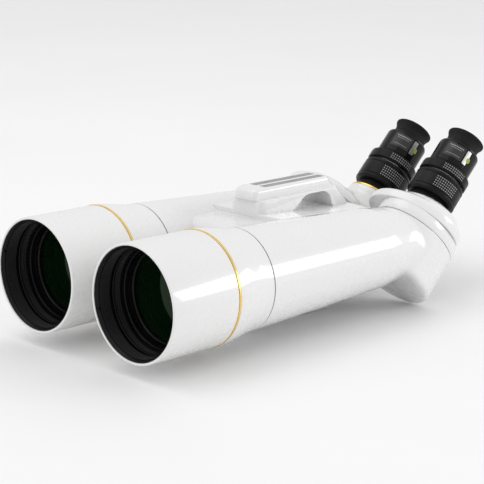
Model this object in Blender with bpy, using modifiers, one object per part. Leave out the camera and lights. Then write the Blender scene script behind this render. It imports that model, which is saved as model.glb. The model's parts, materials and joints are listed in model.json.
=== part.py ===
"""Giant binocular telescope with two objective tubes and 45 degree eyepieces.

The tubes look towards -Y, +Z is up and +X is the right tube.  Each side carries an air-spaced
objective, an erecting prism, a swivelling turret with a rhomboid prism, a helical focuser and a
push-in eyepiece.  Lengths are metres.
"""
import math

import bmesh
import bpy
from mathutils import Matrix

MM = 0.001
TURN = 2.0 * math.pi
TILT = math.radians(45.0)             # eyepiece axis above the horizontal

# ---- layout -------------------------------------------------------------------------------
TUBE_X = 62.8 * MM                    # tube axis from the centre plane
AXIS_Z = 62.5 * MM                    # tube axis above the underside of the dovetail bar
FRONT_Y = -188.5 * MM                 # front rims; Y = 0 is the middle of the dovetail bar
EYE_X = 33.3 * MM                     # eyepiece axis from the centre plane
EYE_Y = 465.5 * MM                    # eyepiece datum behind the front rim
EYE_Z = 82.0 * MM                     # eyepiece datum above the tube axis
PRISM_Y = 346.7 * MM                  # where the tube axis meets the prism exit axis
GAP = 0.3 * MM                        # clearance between touching pieces

# ---- front end ----------------------------------------------------------------------------
SHIELD_R = 50.5 * MM
SHIELD_BORE = 48.4 * MM
SHIELD_END = 71.8 * MM
GOLD_R = 50.8 * MM
GOLD_FRONT, GOLD_REAR = 72.1 * MM, 74.1 * MM
SHOULDER_FRONT, SHOULDER_REAR = 74.4 * MM, 118.6 * MM
TUBE_FRONT_R, TUBE_REAR_R = 45.2 * MM, 37.4 * MM
TUBE_FRONT, TUBE_REAR = 118.9 * MM, 292.0 * MM
TUBE_WALL = 2.2 * MM
SLEEVE_R = 42.4 * MM                  # the tube's tongue inside the shoulder
SLEEVE_FRONT = 106.0 * MM
LINER_R, LINER_BORE = 48.1 * MM, 45.8 * MM
LINER_END = 17.6 * MM
CELL_FRONT, CELL_REAR = 18.0 * MM, 79.5 * MM
CELL_STEP_R, CELL_SEAT_R, CELL_BORE = 44.8 * MM, 41.4 * MM, 38.6 * MM
CELL_STEP, CELL_SEAT = 28.0 * MM, 54.4 * MM
LENS_R = 41.0 * MM                    # objective glass, 82 mm across
CROWN_FRONT, CROWN_REAR = 39.0 * MM, 46.0 * MM
FLINT_FRONT, FLINT_REAR = 48.1 * MM, 54.1 * MM
BAFFLE_FRONT, BAFFLE_REAR = 205.0 * MM, 206.2 * MM
BAFFLE_R, BAFFLE_BORE = 37.4 * MM, 27.0 * MM

# ---- rear end, along the prism exit axis from PRISM_Y --------------------------------------
CASE_HALF_X, CASE_HALF_V = 37.6 * MM, 46.0 * MM
CASE_BOTTOM, CASE_TOP = -45.0 * MM, 2.0 * MM
CASE_WALL = 3.0 * MM
COVER_BOTTOM, COVER_TOP = 2.3 * MM, 13.2 * MM
TURRET_BOTTOM, TURRET_RIM, TURRET_TOP = 13.5 * MM, 21.0 * MM, 38.0 * MM
TURRET_R, BOSS_R = 39.5 * MM, 25.5 * MM
BULGE_R, BULGE_TOP = 40.0 * MM, 24.5 * MM
BULGE_INWARDS, BULGE_UPHILL = 12.0 * MM, 6.0 * MM     # the bulge's centre from the exit axis
PIVOT_R, LIGHT_R = 17.0 * MM, 14.0 * MM
PIVOT_TOP = 18.2 * MM
SPIGOT_FRONT = 284.0 * MM             # the housing's tongue inside the optical tube
CRADLE_SHELF = -27.0 * MM
RHOMBOID_SIDE = 14.0 * MM

# ---- focuser and eyepiece, along the eyepiece axis from its datum ---------------------------
BOSS_TOP = -95.0 * MM
BASE_TOP, BASE_REST, BASE_END = -63.6 * MM, -92.7 * MM, -105.6 * MM
BASE_R, BASE_FLANGE_R, BASE_BORE = 20.0 * MM, 22.0 * MM, 18.2 * MM
RING_TOP, RING_BOTTOM = -61.5 * MM, -84.6 * MM
RING_R, RING_BORE = 25.0 * MM, 20.4 * MM
RING_TAPER, RING_TAPER_R = -79.0 * MM, 23.2 * MM
DRAW_TOP, DRAW_COLLAR, DRAW_END = -51.6 * MM, -61.0 * MM, -96.0 * MM
DRAW_COLLAR_R, DRAW_R, DRAW_BORE = 20.2 * MM, 17.9 * MM, 16.15 * MM
CLAMP_TOP, CLAMP_BOTTOM = -49.6 * MM, -59.0 * MM
BODY_TOP, BODY_BOTTOM = -22.0 * MM, -49.2 * MM
BODY_R = 21.0 * MM
BARREL_R = 15.85 * MM                 # 31.7 mm push-in barrel
BARREL_BORE, BARREL_GROOVE_R = 14.5 * MM, 15.2 * MM
BARREL_TOP, BARREL_BOTTOM = -44.3 * MM, -79.0 * MM
EYE_LENS_R, FIELD_LENS_R = 11.6 * MM, 14.2 * MM

# ---- centre ---------------------------------------------------------------------------------
FRAME_FRONT, FRAME_REAR = 150.0 * MM, 333.0 * MM
FRAME_HALF_X, FRAME_TOP, FRAME_BOTTOM = 34.0 * MM, 33.0 * MM, -48.0 * MM
HANDLE_FRONT, HANDLE_REAR = 187.0 * MM, 307.0 * MM
HANDLE_HALF_X, HANDLE_TOP, BAR_BOTTOM = 13.5 * MM, 60.0 * MM, 50.0 * MM
PEDESTAL_HALF_X = 20.0 * MM
HANDLE_RAKE = 22.0 * MM               # lean of the rear post
GAP_FRONT, GAP_REAR = 225.0 * MM, 284.0 * MM
GROOVE_HALF, GROOVE_DEPTH, GROOVE_X = 5.0 * MM, 1.2 * MM, 6.5 * MM
CHANNEL_HALF_X, CHANNEL_HALF_Z = 10.5 * MM, 21.0 * MM
RAIL_FRONT, RAIL_REAR = 98.0 * MM, 279.0 * MM
RAIL_TOP_W, RAIL_BOTTOM_W = 36.0 * MM, 44.0 * MM
BOLT_YS = (172.0 * MM, 248.0 * MM)
BOLT_R, BOLT_HEAD_R, BOLT_SOCKET_R = 3.0 * MM, 5.0 * MM, 2.6 * MM
BOLT_TOP, BOLT_NECK, BOLT_END = -32.0 * MM, -55.8 * MM, -61.2 * MM

SEG_LARGE, SEG_MID, SEG_SMALL = 24, 18, 14


def clear_scene():
    for obj in list(bpy.data.objects):
        bpy.data.objects.remove(obj, do_unlink=True)
    for mesh in list(bpy.data.meshes):
        bpy.data.meshes.remove(mesh)


def collection(name):
    made = bpy.data.collections.new(name)
    bpy.context.scene.collection.children.link(made)
    return made


def material(name, colour, roughness, metallic=0.0, transmission=0.0):
    made = bpy.data.materials.new(name)
    made.use_nodes = True
    shader = made.node_tree.nodes["Principled BSDF"]
    shader.inputs["Base Color"].default_value = (*colour, 1.0)
    shader.inputs["Roughness"].default_value = roughness
    shader.inputs["Metallic"].default_value = metallic
    shader.inputs["Transmission Weight"].default_value = transmission
    return made


class Builder:
    """Makes the named pieces and keeps the frame each one is placed by."""

    def __init__(self):
        self.parts = collection("giant_binocular_telescope")
        self.tools = collection("cutters")
        self.frames = {}

    def add(self, name, mesh, mat, frame, parent=None):
        obj = bpy.data.objects.new(name, mesh)
        self.parts.objects.link(obj)
        mesh.materials.append(mat)
        self.frames[name] = frame
        local = frame
        if parent is not None:
            obj.parent = parent
            local = self.frames[parent.name].inverted() @ frame
        obj.location = local.to_translation()
        obj.rotation_euler = local.to_euler()
        return obj

    def tool(self, name, mesh, frame):
        obj = bpy.data.objects.new(name, mesh)
        self.tools.objects.link(obj)
        obj.hide_render = True
        obj.display_type = "WIRE"
        obj.location = frame.to_translation()
        obj.rotation_euler = frame.to_euler()
        return obj

    def turned(self, name, profile, mat, frame, parent=None, segments=SEG_LARGE):
        return turn(self.add(name, turned_mesh(name, profile), mat, frame, parent), segments)

    def turned_tool(self, name, profile, frame, segments=SEG_LARGE):
        return turn(self.tool(name, turned_mesh(name, profile), frame), segments)


def boolean(obj, tool, operation):
    step = obj.modifiers.new(operation.lower() + "_" + tool.name, "BOOLEAN")
    step.operation = operation
    step.solver = "EXACT"
    step.object = tool
    return step


def turned_mesh(name, profile):
    """A profile in (radius, height) as edges, run so that the turned surface faces outwards."""
    points = list(profile)
    area = sum(a[0] * b[1] - b[0] * a[1] for a, b in zip(points, points[1:] + points[:1]))
    if area > 0.0:
        points.reverse()
    edges = [(i, i + 1) for i in range(len(points) - 1)]
    if min(point[0] for point in points) > 0.0:
        edges.append((len(points) - 1, 0))
    else:
        start = next(i for i, (a, b) in enumerate(zip(points, points[1:] + points[:1]))
                     if a[0] == 0.0 and b[0] == 0.0)
        points = points[start + 1:] + points[:start + 1]
    mesh = bpy.data.meshes.new(name)
    mesh.from_pydata([(radius, 0.0, height) for radius, height in points], edges, [])
    return mesh


def turn(obj, segments):
    step = obj.modifiers.new("turn", "SCREW")
    step.axis = "Z"
    step.angle = TURN
    step.steps = segments
    step.render_steps = segments
    step.use_merge_vertices = True
    step.merge_threshold = 0.00001
    return obj


def outline_mesh(name, points, bottom, top):
    """A prism over an outline given in the local XY plane."""
    mesh = bpy.data.meshes.new(name)
    shape = bmesh.new()
    face = shape.faces.new([shape.verts.new((x, y, bottom)) for x, y in points])
    face.normal_update()
    if face.normal.z > 0.0:
        face.normal_flip()
    raised = bmesh.ops.extrude_face_region(shape, geom=[face])
    bmesh.ops.translate(shape, vec=(0.0, 0.0, top - bottom),
                        verts=[v for v in raised["geom"] if isinstance(v, bmesh.types.BMVert)])
    bmesh.ops.recalc_face_normals(shape, faces=shape.faces)
    shape.to_mesh(mesh)
    shape.free()
    return mesh


def layered_mesh(name, layers):
    """A solid through a stack of (outline, height) layers with equal point counts."""
    mesh = bpy.data.meshes.new(name)
    shape = bmesh.new()
    rows = [[shape.verts.new((x, y, height)) for x, y in outline] for outline, height in layers]
    shape.faces.new(rows[0])
    shape.faces.new(rows[-1])
    count = len(rows[0])
    for low, high in zip(rows, rows[1:]):
        for i in range(count):
            after = (i + 1) % count
            shape.faces.new((low[i], low[after], high[after], high[i]))
    bmesh.ops.recalc_face_normals(shape, faces=shape.faces)
    shape.to_mesh(mesh)
    shape.free()
    return mesh


def ellipse(half_x, half_y, segments, centre=(0.0, 0.0)):
    return [(centre[0] + half_x * math.cos(TURN * i / segments),
             centre[1] + half_y * math.sin(TURN * i / segments)) for i in range(segments)]


def rounded_box(half_x, half_y, radius, steps=3):
    """Outline of a rectangle with rounded corners, centred on the origin."""
    points = []
    for corner in range(4):
        sign_x = 1.0 if corner in (0, 3) else -1.0
        sign_y = 1.0 if corner in (0, 1) else -1.0
        for step in range(steps + 1):
            angle = (corner + step / steps) * TURN / 4
            points.append((sign_x * (half_x - radius) + radius * math.cos(angle),
                           sign_y * (half_y - radius) + radius * math.sin(angle)))
    return points


def pear(centre_a, radius_a, centre_b, radius_b, segments):
    """Outline of the band stretched round two circles."""
    ax, ay = centre_a
    bx, by = centre_b
    span = math.hypot(bx - ax, by - ay)
    heading = math.atan2(by - ay, bx - ax)
    wrap = math.acos((radius_a - radius_b) / span)
    points = []
    for radius, (cx, cy), start, sweep in (
            (radius_a, centre_a, heading + wrap, TURN - 2.0 * wrap),
            (radius_b, centre_b, heading - wrap, 2.0 * wrap)):
        count = max(4, round(segments * sweep / TURN))
        for i in range(count + 1):
            angle = start + sweep * i / count
            points.append((cx + radius * math.cos(angle), cy + radius * math.sin(angle)))
    return points


def arc(radius, edge, rise, steps=3):
    """Lens face from the axis to its edge: centre stands rise above the edge height."""
    return [(radius * i / steps, edge + rise * (1.0 - (i / steps) ** 2)) for i in range(steps + 1)]


def lens_profile(radius, low_edge, low_rise, high_edge, high_rise):
    return arc(radius, high_edge, high_rise) + list(reversed(arc(radius, low_edge, low_rise)))


def disc_profile(radius, low, high):
    return [(0.0, high), (radius, high), (radius, low), (0.0, low)]


def scaled(points):
    """Profile points given in millimetres."""
    return [(radius * MM, height * MM) for radius, height in points]


TILTED = Matrix.Rotation(-TILT, 4, "X")


def tube_frame(side):
    """Origin at the front rim, local Z along the tube axis towards the rear."""
    return Matrix.Translation((side * TUBE_X, FRONT_Y, AXIS_Z)) @ Matrix.Rotation(-TURN / 4, 4, "X")


def case_frame(side):
    """Origin where the tube axis meets the prism exit axis, local Z along the exit axis."""
    return Matrix.Translation((side * TUBE_X, FRONT_Y + PRISM_Y, AXIS_Z)) @ TILTED


def eye_frame(side):
    """Origin on the eyepiece axis at its datum, local Z towards the eye."""
    return Matrix.Translation((side * EYE_X, FRONT_Y + EYE_Y, AXIS_Z + EYE_Z)) @ TILTED


OFF_FACET = Matrix.Rotation(TURN / SEG_LARGE / 3, 4, "Z")      # keeps the edges of two rounds apart
SIDEWAYS = Matrix(((0, 0, 1, 0), (1, 0, 0, 0), (0, 1, 0, 0), (0, 0, 0, 1)))    # outline in YZ, depth in X
ENDWAYS = Matrix(((1, 0, 0, 0), (0, 0, -1, 0), (0, 1, 0, 0), (0, 0, 0, 1)))    # outline in XZ, depth in -Y


def build_front(b, mats, side, tag):
    tube = tube_frame(side)
    white, black, gold = mats["white_paint"], mats["black_anodised"], mats["gold_trim"]
    lip = 0.7 * MM
    b.turned("dew_shield" + tag, [
        (SHIELD_R, SHIELD_END), (SHIELD_R, lip), (SHIELD_R - lip, 0.0), (SHIELD_BORE, 0.0),
        (SHIELD_BORE, SHIELD_END)], white, tube)
    b.turned("hood_liner" + tag, [
        (LINER_R, LINER_END), (LINER_R, 0.8 * MM), (LINER_R - 0.4 * MM, 0.4 * MM),
        (LINER_BORE, 4.0 * MM), (LINER_BORE, LINER_END)], black, tube)
    b.turned("gold_ring" + tag, [
        (GOLD_R, GOLD_REAR), (GOLD_R, GOLD_FRONT), (SHIELD_BORE, GOLD_FRONT),
        (SHIELD_BORE, GOLD_REAR)], gold, tube)

    steps = 5
    flank = []
    for i in range(steps + 1):
        share = i / steps
        ease = share * share * (3.0 - 2.0 * share)
        flank.append((SHIELD_R + (TUBE_FRONT_R - SHIELD_R) * ease,
                      SHOULDER_FRONT + (SHOULDER_REAR - SHOULDER_FRONT) * share))
    throat = SLEEVE_R + GAP
    cell_room = SHIELD_BORE - 0.1 * MM
    b.turned("shoulder" + tag, flank + [
        (throat, SHOULDER_REAR), (throat, 100.0 * MM), (44.5 * MM, 92.0 * MM),
        (cell_room, 80.0 * MM), (cell_room, SHOULDER_FRONT)], white, tube)
    b.turned("optical_tube" + tag, [
        (TUBE_REAR_R, TUBE_REAR), (TUBE_FRONT_R, TUBE_FRONT), (SLEEVE_R, TUBE_FRONT),
        (SLEEVE_R, SLEEVE_FRONT), (SLEEVE_R - 1.8 * MM, SLEEVE_FRONT),
        (SLEEVE_R - 1.8 * MM, TUBE_FRONT), (TUBE_REAR_R - TUBE_WALL, TUBE_REAR)], white, tube)

    b.turned("lens_cell" + tag, [
        (LINER_R, CELL_REAR), (LINER_R, CELL_FRONT), (CELL_STEP_R, CELL_FRONT),
        (CELL_STEP_R, CELL_STEP), (CELL_SEAT_R, CELL_STEP), (CELL_SEAT_R, CELL_SEAT),
        (CELL_BORE, CELL_SEAT), (CELL_BORE, CELL_REAR)], black, tube)
    ring_rear = CROWN_FRONT - 0.8 * MM
    b.turned("retaining_ring" + tag, [
        (LENS_R + 0.1 * MM, ring_rear), (LENS_R + 0.1 * MM, ring_rear - 2.5 * MM),
        (LENS_R - MM, ring_rear - 3.1 * MM), (CELL_BORE + 0.2 * MM, ring_rear - 2.3 * MM),
        (CELL_BORE + 0.2 * MM, ring_rear)], black, tube)
    b.turned("crown_lens" + tag, lens_profile(
        LENS_R, CROWN_FRONT, -3.4 * MM, CROWN_REAR, 2.0 * MM), mats["crown_glass"], tube)
    b.turned("lens_spacer" + tag, [
        (LENS_R, FLINT_FRONT - GAP), (LENS_R, CROWN_REAR + GAP),
        (LENS_R - 1.6 * MM, CROWN_REAR + 0.5 * MM), (LENS_R - 1.6 * MM, FLINT_FRONT - GAP)],
        black, tube)
    b.turned("flint_lens" + tag, lens_profile(
        LENS_R, FLINT_FRONT, 2.3 * MM, FLINT_REAR, -0.4 * MM), mats["flint_glass"], tube)
    b.turned("baffle" + tag, [
        (BAFFLE_R, BAFFLE_REAR), (BAFFLE_R, BAFFLE_FRONT),
        (BAFFLE_BORE, BAFFLE_REAR - 0.4 * MM), (BAFFLE_BORE, BAFFLE_REAR)],
        mats["inner_black"], tube)


def build_case(b, mats, side, tag):
    tube, case = tube_frame(side), case_frame(side)
    white = mats["white_paint"]

    def section(inset):
        return ellipse(CASE_HALF_X - inset, CASE_HALF_V - inset, SEG_LARGE)

    housing = b.add("prism_housing" + tag, layered_mesh("prism_housing" + tag, [
        (section(5.0 * MM), CASE_BOTTOM), (section(1.5 * MM), CASE_BOTTOM + 1.5 * MM),
        (section(0.0), CASE_BOTTOM + 5.0 * MM), (section(0.0), CASE_TOP + 5.0 * MM)]), white, case)
    spigot = TUBE_REAR_R - TUBE_WALL - GAP
    tail = b.turned_tool("tail" + tag, [
        (0.0, SPIGOT_FRONT), (spigot, SPIGOT_FRONT), (spigot, TUBE_REAR + GAP),
        (TUBE_REAR_R, TUBE_REAR + GAP), (CASE_HALF_X - MM, PRISM_Y), (0.0, PRISM_Y)], tube)
    reach = 2 * CASE_HALF_V
    trim = b.tool("case_trim" + tag, outline_mesh(
        "case_trim" + tag, rounded_box(reach, reach, 10.0 * MM), CASE_TOP, CASE_TOP + reach), case)
    cavity = b.tool("case_cavity" + tag, outline_mesh(
        "case_cavity" + tag, section(CASE_WALL), CASE_BOTTOM + CASE_WALL, CASE_TOP - CASE_WALL), case)
    bore = b.turned_tool("case_bore" + tag, disc_profile(
        spigot - 1.9 * MM, SPIGOT_FRONT - 4.0 * MM, PRISM_Y - 8.0 * MM),
                         tube @ OFF_FACET)
    exit_hole = b.turned_tool("exit_hole" + tag, disc_profile(
        LIGHT_R, CASE_TOP - 2.0 * CASE_WALL, CASE_TOP + 20.0 * MM), case, SEG_MID)
    boolean(housing, tail, "UNION")
    for tool in (trim, cavity, bore, exit_hole):
        boolean(housing, tool, "DIFFERENCE")

    cheek, inner, cheek_top = 18.5 * MM, 16.4 * MM, -5.0 * MM
    floor = CASE_BOTTOM + CASE_WALL + GAP
    b.add("prism_cradle" + tag, outline_mesh("prism_cradle" + tag, [
        (-cheek, floor), (cheek, floor), (cheek, cheek_top), (inner, cheek_top),
        (inner, CRADLE_SHELF), (-inner, CRADLE_SHELF), (-inner, cheek_top),
        (-cheek, cheek_top)], -10.0 * MM, 10.0 * MM), mats["black_anodised"], case @ ENDWAYS)
    half = 16.0 * MM
    b.add("erecting_prism" + tag, outline_mesh("erecting_prism" + tag, scaled([
        (-16.0, -20.0), (-2.0, -28.0), (14.0, -22.0), (14.0, -16.5), (-12.5, 10.0), (-16.0, 10.0)]),
        -half, half), mats["prism_glass"], Matrix.Translation(case.to_translation()) @ SIDEWAYS)

    cover = b.add("rear_cover" + tag, layered_mesh("rear_cover" + tag, [
        (section(0.0), COVER_BOTTOM), (section(0.0), COVER_TOP - 0.8 * MM),
        (section(0.8 * MM), COVER_TOP)]), white, case)
    pivot = b.turned_tool("cover_pivot" + tag, disc_profile(
        PIVOT_R, COVER_BOTTOM + MM, PIVOT_TOP), case, SEG_MID)
    light_way = b.turned_tool("cover_way" + tag, disc_profile(
        LIGHT_R, 0.0, PIVOT_TOP + 10.0 * MM), case, SEG_MID)
    boolean(cover, pivot, "UNION")
    boolean(cover, light_way, "DIFFERENCE")


def build_turret(b, mats, side, tag):
    case, eye = case_frame(side), eye_frame(side)
    lobe = tuple((case.inverted() @ eye.to_translation()).xy)

    def plan(inset):
        return pear((0.0, 0.0), TURRET_R - inset, lobe, BOSS_R - inset, SEG_LARGE)

    turret = b.add("turret" + tag, layered_mesh("turret" + tag, [
        (plan(0.8 * MM), TURRET_BOTTOM), (plan(0.0), TURRET_BOTTOM + 0.8 * MM),
        (plan(0.0), TURRET_RIM - 1.5 * MM), (plan(1.8 * MM), TURRET_RIM),
        (plan(8.0 * MM), TURRET_TOP - 7.0 * MM), (plan(16.0 * MM), TURRET_TOP)]),
        mats["white_paint"], case)
    boss = b.turned_tool("boss" + tag, [
        (0.0, BOSS_TOP), (BOSS_R - 1.5 * MM, BOSS_TOP), (BOSS_R - 0.5 * MM, BOSS_TOP - MM),
        (BOSS_R - 0.5 * MM, BOSS_TOP - 30.0 * MM), (0.0, BOSS_TOP - 30.0 * MM)], eye @ OFF_FACET)
    bulge_at = (-side * BULGE_INWARDS, -BULGE_UPHILL)

    def bulge_plan(inset):
        return ellipse(BULGE_R - inset, BULGE_R - inset, SEG_LARGE, bulge_at)

    bulge = b.tool("turret_bulge" + tag, layered_mesh("turret_bulge" + tag, [
        (bulge_plan(0.8 * MM), TURRET_BOTTOM + 0.5 * MM), (bulge_plan(0.0), TURRET_BOTTOM + 1.3 * MM),
        (bulge_plan(0.0), BULGE_TOP - 4.5 * MM), (bulge_plan(2.0 * MM), BULGE_TOP - 2.0 * MM),
        (bulge_plan(7.0 * MM), BULGE_TOP)]), case)
    pivot_hole = b.turned_tool("pivot_hole" + tag, disc_profile(
        PIVOT_R + 0.4 * MM, 0.0, PIVOT_TOP + 2 * GAP), case, SEG_MID)
    spigot = BASE_R - 0.6 * MM
    seat = b.turned_tool("focuser_seat" + tag, disc_profile(
        spigot + GAP, BASE_END - 0.4 * MM, BOSS_TOP + 5.0 * MM), eye, SEG_MID)
    way = b.turned_tool("turret_way" + tag, disc_profile(
        9.0 * MM, BASE_END - 12.4 * MM, BASE_END + 5.0 * MM), eye, SEG_SMALL)
    boolean(turret, boss, "UNION")
    boolean(turret, bulge, "UNION")
    for tool in (pivot_hole, seat, way):
        boolean(turret, tool, "DIFFERENCE")

    span = math.hypot(*lobe)
    swing = Matrix.Rotation(math.atan2(lobe[1], lobe[0]), 4, "Z")
    along = case @ swing @ Matrix.Rotation(TURN / 4, 4, "X")      # outline along the offset and the axis
    low = PIVOT_TOP + MM
    half = RHOMBOID_SIDE / 2

    def rhomb(grow):
        slope = grow * (math.sqrt(2.0) + 1.0)
        return [(-half - slope, low - grow), (span - half + grow / 2, low - grow),
                (span + half + slope, low + RHOMBOID_SIDE + grow),
                (half - grow / 2, low + RHOMBOID_SIDE + grow)]

    room = b.tool("rhomboid_room" + tag, outline_mesh(
        "rhomboid_room" + tag, rhomb(0.5 * MM), -half - 2 * GAP, half + 2 * GAP), along)
    boolean(turret, room, "DIFFERENCE")
    b.add("rhomboid_prism" + tag, outline_mesh("rhomboid_prism" + tag, rhomb(0.0), -half, half),
          mats["prism_glass"], along, turret)
    ring_r = BOSS_R - 1.1 * MM
    b.turned("turret_ring" + tag, [
        (ring_r, BASE_REST - GAP), (ring_r, BOSS_TOP + GAP), (BASE_R, BOSS_TOP + GAP),
        (BASE_R, BASE_REST - GAP)], mats["gold_trim"], eye, turret, SEG_MID)
    b.turned("focuser_base" + tag, [
        (BASE_R, BASE_TOP), (BASE_R, RING_BOTTOM - MM), (BASE_R + 0.7 * MM, RING_BOTTOM - 3.8 * MM),
        (BASE_FLANGE_R, BASE_REST + 1.7 * MM), (BASE_FLANGE_R, BASE_REST), (spigot, BASE_REST),
        (spigot, BASE_END), (BASE_BORE, BASE_END), (BASE_BORE, BASE_TOP)],
        mats["black_anodised"], eye, turret, SEG_MID)
    return turret


def build_eyepiece(b, mats, side, tag, turret):
    eye = eye_frame(side)
    black = mats["black_anodised"]
    b.turned("focus_ring" + tag, [
        (RING_R - 0.8 * MM, RING_TOP), (RING_R, RING_TOP - 0.8 * MM), (RING_R, RING_TAPER),
        (RING_TAPER_R, RING_BOTTOM), (RING_BORE, RING_BOTTOM), (RING_BORE, RING_TOP)],
        black, eye, turret)
    draw = b.turned("draw_tube" + tag, [
        (DRAW_COLLAR_R, DRAW_TOP), (DRAW_COLLAR_R, DRAW_COLLAR), (DRAW_R, DRAW_COLLAR),
        (DRAW_R, DRAW_END), (DRAW_BORE, DRAW_END), (DRAW_BORE, DRAW_TOP)],
        mats["satin_steel"], eye, turret, SEG_MID)
    roof = CLAMP_TOP - 1.6 * MM
    b.turned("clamp_ring" + tag, [
        (RING_R - MM, CLAMP_TOP), (RING_R, CLAMP_TOP - MM), (RING_R, CLAMP_BOTTOM),
        (DRAW_COLLAR_R + 0.4 * MM, CLAMP_BOTTOM), (DRAW_COLLAR_R + 0.4 * MM, roof),
        (BARREL_R + 0.75 * MM, roof), (BARREL_R + 0.75 * MM, CLAMP_TOP)], black, eye, draw)

    neck, chimney, bore = 14.6 * MM, 11.9 * MM, 13.4 * MM
    neck_top = BODY_TOP + 5.4 * MM
    socket_top = BARREL_TOP + GAP
    seat = BODY_TOP - 2.4 * MM
    body = b.turned("eyepiece_body" + tag, [
        (neck, neck_top), (neck, BODY_TOP), (BODY_R - 1.8 * MM, BODY_TOP),
        (BODY_R, BODY_TOP - 1.8 * MM), (BODY_R, BODY_BOTTOM + 0.8 * MM),
        (BODY_R - 0.8 * MM, BODY_BOTTOM), (BARREL_R + GAP, BODY_BOTTOM),
        (BARREL_R + GAP, socket_top), (bore, socket_top), (bore, seat - 2.6 * MM),
        (chimney - 1.3 * MM, seat), (chimney, seat), (chimney, neck_top)],
        mats["gloss_black"], eye, draw, SEG_MID)
    groove_top, groove_end = -56.0 * MM, -63.0 * MM
    b.turned("eyepiece_barrel" + tag, [
        (BARREL_R, BARREL_TOP), (BARREL_R, groove_top), (BARREL_GROOVE_R, groove_top - MM),
        (BARREL_GROOVE_R, groove_end + MM), (BARREL_R, groove_end),
        (BARREL_R, BARREL_BOTTOM + 0.6 * MM), (BARREL_R - 0.5 * MM, BARREL_BOTTOM),
        (BARREL_BORE, BARREL_BOTTOM), (BARREL_BORE, BARREL_TOP)],
        mats["chrome"], eye, body, SEG_SMALL)
    b.turned("eyecup" + tag, scaled([
        (16.9, -21.7), (14.9, -21.7), (14.9, -16.3), (12.8, -16.3), (12.8, -15.4), (15.6, -12.4),
        (17.4, -8.6), (18.6, -8.4), (19.2, -9.2), (19.0, -10.2), (17.6, -12.4), (16.8, -15.2)]),
        mats["rubber"], eye, body, SEG_MID)
    b.turned("eye_lens" + tag, lens_profile(
        EYE_LENS_R, seat + GAP, -2 * GAP, seat + 4.8 * MM, 1.6 * MM), mats["crown_glass"],
        eye, body, SEG_SMALL)
    b.turned("field_lens" + tag, lens_profile(
        FIELD_LENS_R, BARREL_BOTTOM + 7.0 * MM, 0.0, BARREL_BOTTOM + 10.6 * MM, 1.8 * MM),
        mats["crown_glass"], eye, body, SEG_SMALL)


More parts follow.
